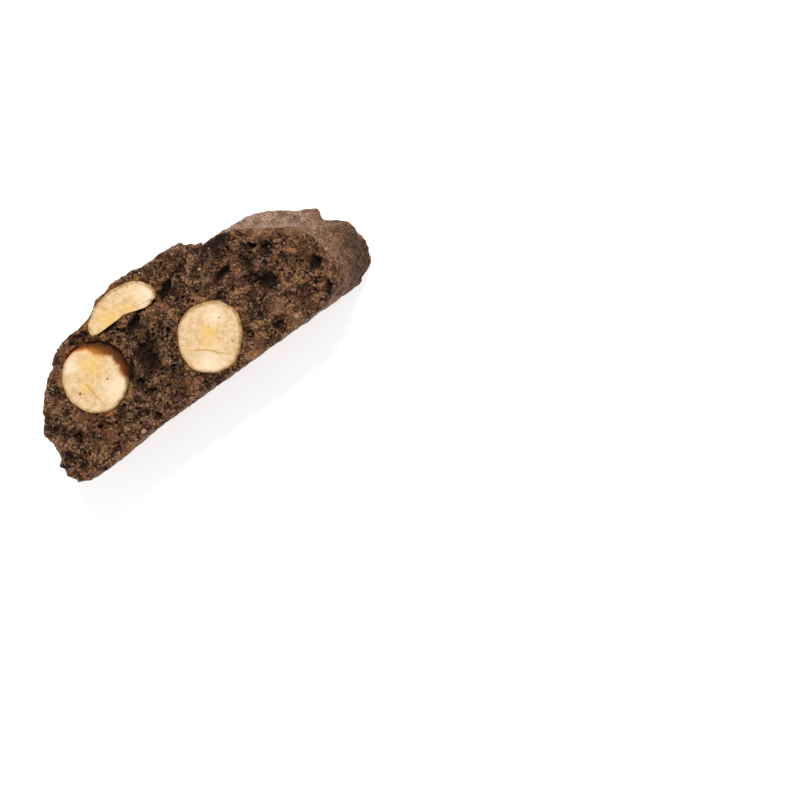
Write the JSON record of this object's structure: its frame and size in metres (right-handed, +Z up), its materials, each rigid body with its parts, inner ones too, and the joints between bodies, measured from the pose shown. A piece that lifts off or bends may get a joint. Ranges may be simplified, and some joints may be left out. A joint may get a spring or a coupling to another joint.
{
  "type": "chocolate hazelnut biscotti slice",
  "caption": "Diagonally cut slice of chocolate biscotti with a domed crust, open crumb and cut hazelnuts set in both faces.",
  "frame": {"origin": "on the surface that the slice rests on, under the middle of its bounding box", "axes": "+X along the flat base, towards the end where the crust leans out; +Y from the base to the crown; +Z up, from the cut face that it rests on to the cut face that shows"},
  "size_m": [0.0762, 0.03, 0.0142],
  "materials": {
    "dough": "matt baked chocolate crumb and crust",
    "hazelnut": "smooth cut face of a toasted nut"
  },
  "bodies": {
    "root": {"dough": "dough", "hazelnut_middle": "hazelnut", "hazelnut_end": "hazelnut", "hazelnut_half": "hazelnut", "hazelnut_under_right": "hazelnut", "hazelnut_under_left": "hazelnut"}
  },
  "joints": []
}
